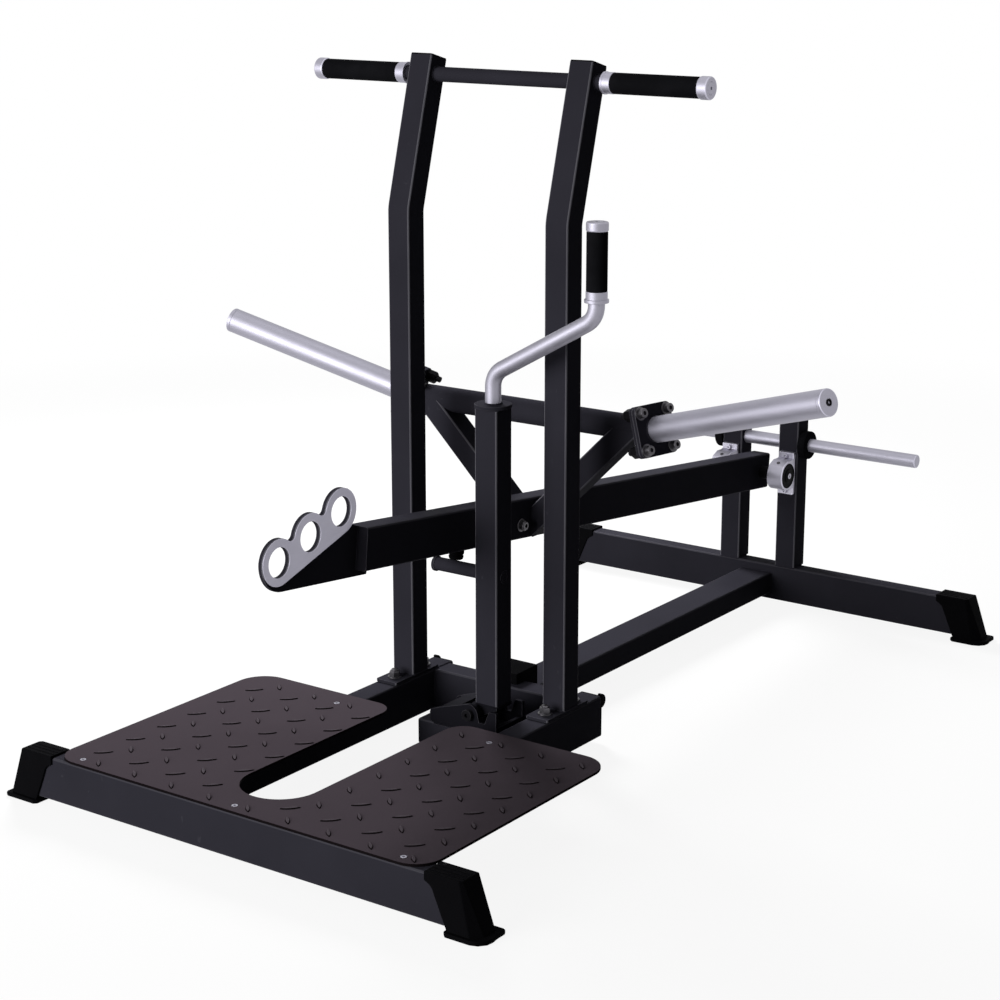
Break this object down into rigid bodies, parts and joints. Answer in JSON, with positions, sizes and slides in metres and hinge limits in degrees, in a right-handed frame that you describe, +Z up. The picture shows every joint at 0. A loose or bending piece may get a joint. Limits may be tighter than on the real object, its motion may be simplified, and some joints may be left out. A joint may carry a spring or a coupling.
{
  "type": "belt squat machine",
  "caption": "Plate-loaded belt squat machine with foot plate, tall handles, a long weight lever with plate horns and a swing-away support post on a crank handle.",
  "frame": {"origin": "on the floor, in the middle of the machine's length and width", "axes": "+X across the machine towards the crank handle's side, +Y from the foot plate to the lever's pivot, +Z up"},
  "size_m": [1.396, 1.898, 1.3106],
  "materials": {
    "coated_steel": "satin powder coat, very dark violet grey",
    "tread_plate": "satin coated chequer plate, brown black",
    "bright_steel": "satin bright steel",
    "black_rubber": "matt",
    "black_plastic": "matt moulded",
    "blackened_steel": "blackened, low gloss"
  },
  "bodies": {
    "frame": {"front_cross_beam": "coated_steel", "rear_cross_beam": "coated_steel", "left_platform_rail": "coated_steel", "right_platform_rail": "coated_steel", "mid_cross_beam": "coated_steel", "rear_center_beam": "coated_steel", "left_upright": "coated_steel", "right_upright": "coated_steel", "handle_bar": "coated_steel", "left_rear_post": "coated_steel", "right_rear_post": "coated_steel", "stub_beam": "coated_steel", "hinge_clevis": "coated_steel", "foot_plate": "tread_plate", "storage_rod": "bright_steel", "left_bearing_housing": "bright_steel", "right_bearing_housing": "bright_steel", "left_grip_collar": "bright_steel", "right_grip_collar": "bright_steel", "left_grip_end_cap": "bright_steel", "right_grip_end_cap": "bright_steel", "left_handle_grip": "black_rubber", "right_handle_grip": "black_rubber", "left_storage_collar": "black_rubber", "right_storage_collar": "black_rubber", "lever_stop_block": "black_rubber", "front_left_foot": "black_plastic", "front_right_foot": "black_plastic", "rear_left_foot": "black_plastic", "rear_right_foot": "black_plastic", "left_rail_plug": "black_plastic", "right_rail_plug": "black_plastic", "left_upright_plug": "black_plastic", "right_upright_plug": "black_plastic", "left_rear_post_plug": "black_plastic", "right_rear_post_plug": "black_plastic", "hinge_bolt": "blackened_steel", "left_bearing_insert": "blackened_steel", "right_bearing_insert": "blackened_steel"},
    "lever": {"lever_beam": "coated_steel", "lever_rear_plug": "black_plastic", "pivot_shaft": "blackened_steel", "ring_plate": "coated_steel", "ring_face_plate": "bright_steel", "lever_rest_pad": "black_rubber", "carrier_tube": "coated_steel", "left_carrier_brace": "coated_steel", "right_carrier_brace": "coated_steel", "left_horn_flange": "coated_steel", "right_horn_flange": "coated_steel", "left_horn": "bright_steel", "right_horn": "bright_steel"},
    "support": {"support_post": "coated_steel", "support_post_cap": "coated_steel", "support_pin": "coated_steel", "support_hinge_barrel": "coated_steel", "crank_tube": "bright_steel", "crank_collar": "bright_steel", "crank_grip": "black_rubber", "crank_cap": "bright_steel"}
  },
  "joints": [
    {"name": "lever_pivot", "type": "hinge", "parent": "frame", "child": "lever", "pos_m": [0, 0.858, 0.323], "axis": [-1, 0, 0], "range_deg": [0, 20]},
    {"name": "support_swing", "type": "hinge", "parent": "frame", "child": "support", "pos_m": [0.062, -0.284, 0.1], "axis": [0, 1, 0], "range_deg": [0, 25], "deforming": ["lever_rest_pad"]}
  ]
}
